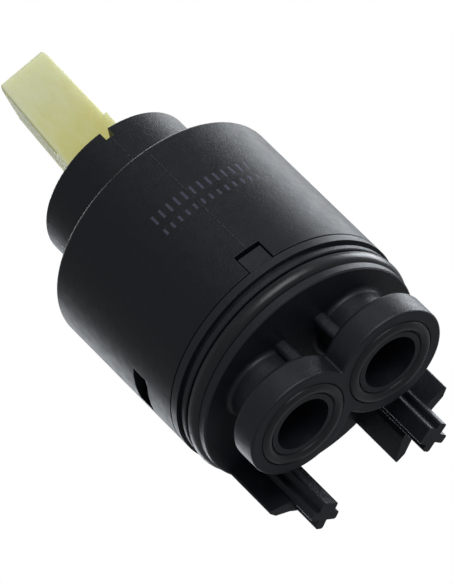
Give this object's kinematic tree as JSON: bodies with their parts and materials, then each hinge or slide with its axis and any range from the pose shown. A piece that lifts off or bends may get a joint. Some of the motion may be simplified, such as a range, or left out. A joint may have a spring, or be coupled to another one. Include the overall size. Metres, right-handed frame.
{
  "type": "single-lever mixer cartridge",
  "caption": "Single-lever ceramic-disc mixer cartridge: black moulded casing, pale tilting and turning lever, and a base with two inlet tubes, sealing rings, legs and pegs.",
  "frame": {"origin": "on the body axis at the casing's bottom rim, where the casing meets the base's flange", "axes": "+Z along the body axis towards the lever; -Y is the front, the side of the key notch and the lever's lean; +X is the cold inlet's side"},
  "size_m": [0.035, 0.035, 0.07],
  "materials": {
    "black_moulding": "satin black moulded engineering plastic",
    "lever_plastic": "pale yellow-green translucent plastic",
    "seal_rubber": "black rubber",
    "inner_plastic": "off-white low-friction plastic",
    "ceramic_white": "lapped white ceramic",
    "pin_steel": "turned stainless steel"
  },
  "bodies": {
    "housing": {"casing": "black_moulding", "distributor_base": "black_moulding", "body_o_ring": "seal_rubber", "inlet_seal_hot": "seal_rubber", "inlet_seal_cold": "seal_rubber", "port_seal_hot": "seal_rubber", "port_seal_cold": "seal_rubber", "port_seal_outlet": "seal_rubber", "fixed_disc": "ceramic_white", "slip_ring": "inner_plastic"},
    "swivel": {"swivel_head": "inner_plastic", "swivel_o_ring": "seal_rubber", "lever_pin": "pin_steel"},
    "lever_body": {"lever": "lever_plastic"},
    "disc_slider": {"disc_carrier": "inner_plastic", "carrier_seal": "seal_rubber", "moving_disc": "ceramic_white"}
  },
  "joints": [
    {"name": "temperature_swivel", "type": "hinge", "parent": "housing", "child": "swivel", "pos_m": [0, 0, 0.0294], "axis": [0, 0, 1], "range_deg": [-41, 59]},
    {"name": "flow_tilt", "type": "hinge", "parent": "swivel", "child": "lever_body", "pos_m": [0, 0, 0.0294], "axis": [-0.9877, 0.1564, 0], "range_deg": [0, 25]},
    {"name": "disc_slide", "type": "slide", "parent": "swivel", "child": "disc_slider", "axis": [-0.1564, -0.9877, 0], "range_m": [0, 0.00407]}
  ],
  "couplings": [
    {"joint": "disc_slide", "follows": "flow_tilt", "m_per_rad": 0.009326}
  ]
}
